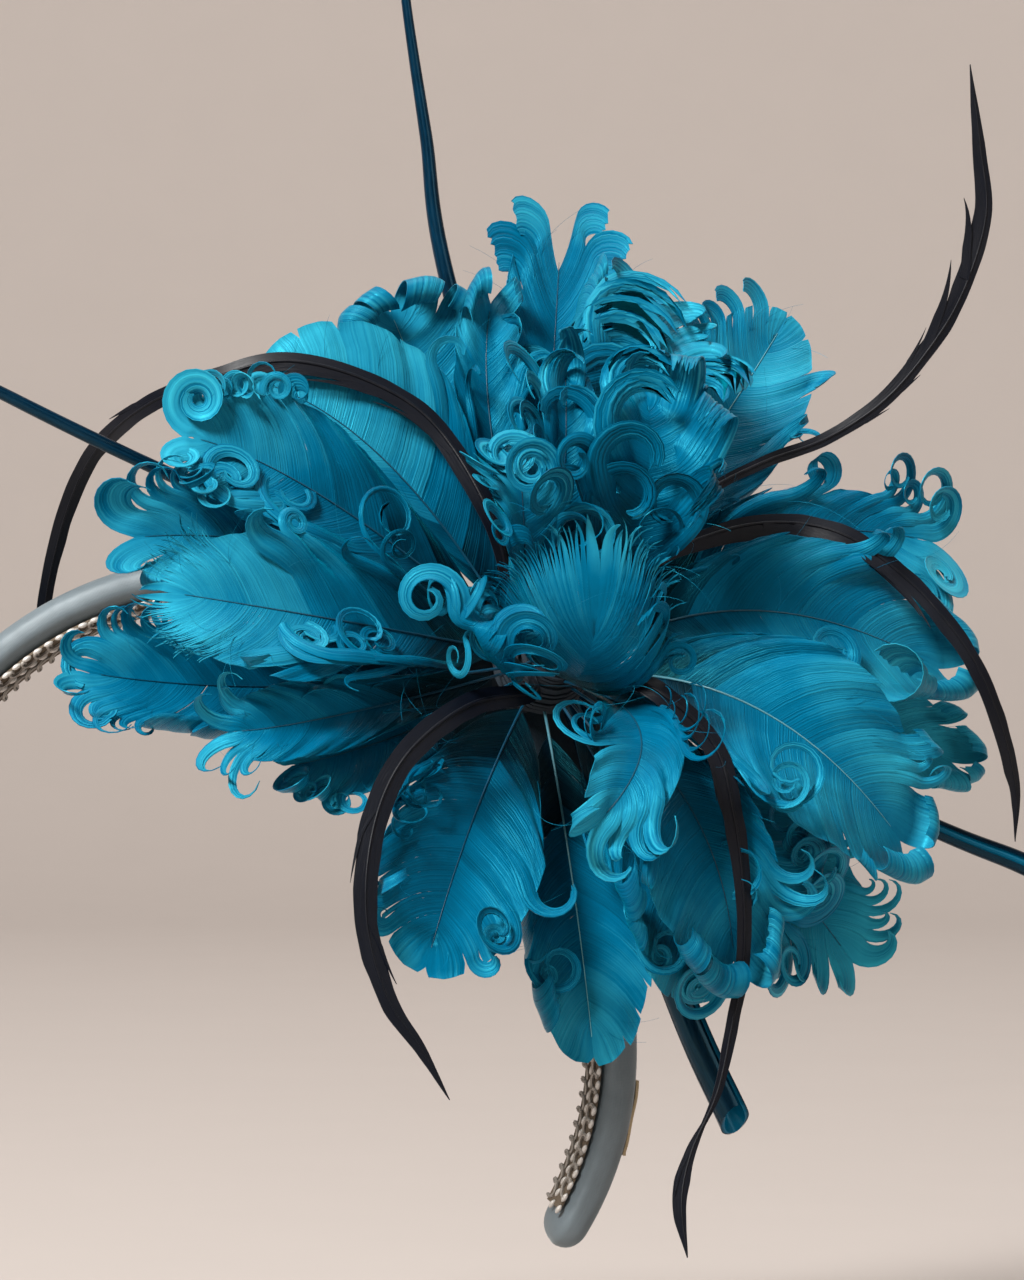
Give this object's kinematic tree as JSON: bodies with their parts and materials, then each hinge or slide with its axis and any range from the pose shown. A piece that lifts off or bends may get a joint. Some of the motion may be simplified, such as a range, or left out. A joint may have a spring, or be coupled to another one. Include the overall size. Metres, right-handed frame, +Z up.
{
  "type": "feather headband",
  "caption": "Padded satin headband with a large flower of curled teal feathers, dark pointed blades and crossed bare quills, worn to one side.",
  "frame": {"origin": "on the band's inner face at its crown, where it sits on the top of a head", "axes": "+Z up out of the head, -Y the way the wearer faces, +X towards the flower's side, which is on the right as seen from in front"},
  "size_m": [0.2535, 0.1138, 0.2656],
  "materials": {
    "satin": "silver-grey satin over padding, soft sheen",
    "braid": "silver metal-thread scroll braid",
    "tab": "thin woven tape, pale gold",
    "felt": "dark teal felt",
    "thread": "wound teal thread",
    "feather": "dyed teal goose feather, soft satin sheen",
    "blade": "near-black dyed feather with a soft sheen",
    "quill": "glossy dark teal quill"
  },
  "bodies": {
    "root": {"band_braid": "braid", "band_tab": "tab", "blade_down_left": "blade", "blade_down_right": "blade", "blade_left_arch": "blade", "blade_right_arch": "blade", "blade_right_droop": "blade", "feather_crown_back": "feather", "feather_crown_front": "feather", "feather_crown_slim": "feather", "feather_crown_spiral": "feather", "feather_down_front": "feather", "feather_down_left": "feather", "feather_down_mid": "feather", "feather_down_right": "feather", "feather_down_right_long": "feather", "feather_front_cup": "feather", "feather_front_left": "feather", "feather_left_front": "feather", "feather_left_high": "feather", "feather_left_low": "feather", "feather_left_mid": "feather", "feather_left_pale": "feather", "feather_left_tuft": "feather", "feather_left_under": "feather", "feather_low_back": "feather", "feather_low_curl": "feather", "feather_right_back": "feather", "feather_right_high": "feather", "feather_right_low": "feather", "feather_right_mid": "feather", "feather_top_back": "feather", "feather_top_fork": "feather", "feather_top_left_fan": "feather", "feather_top_left_slim": "feather", "feather_top_right": "feather", "flower_base": "felt", "headband_pad": "satin", "quill_across": "quill", "quill_upright": "quill", "stem_binding": "thread"}
  },
  "joints": []
}
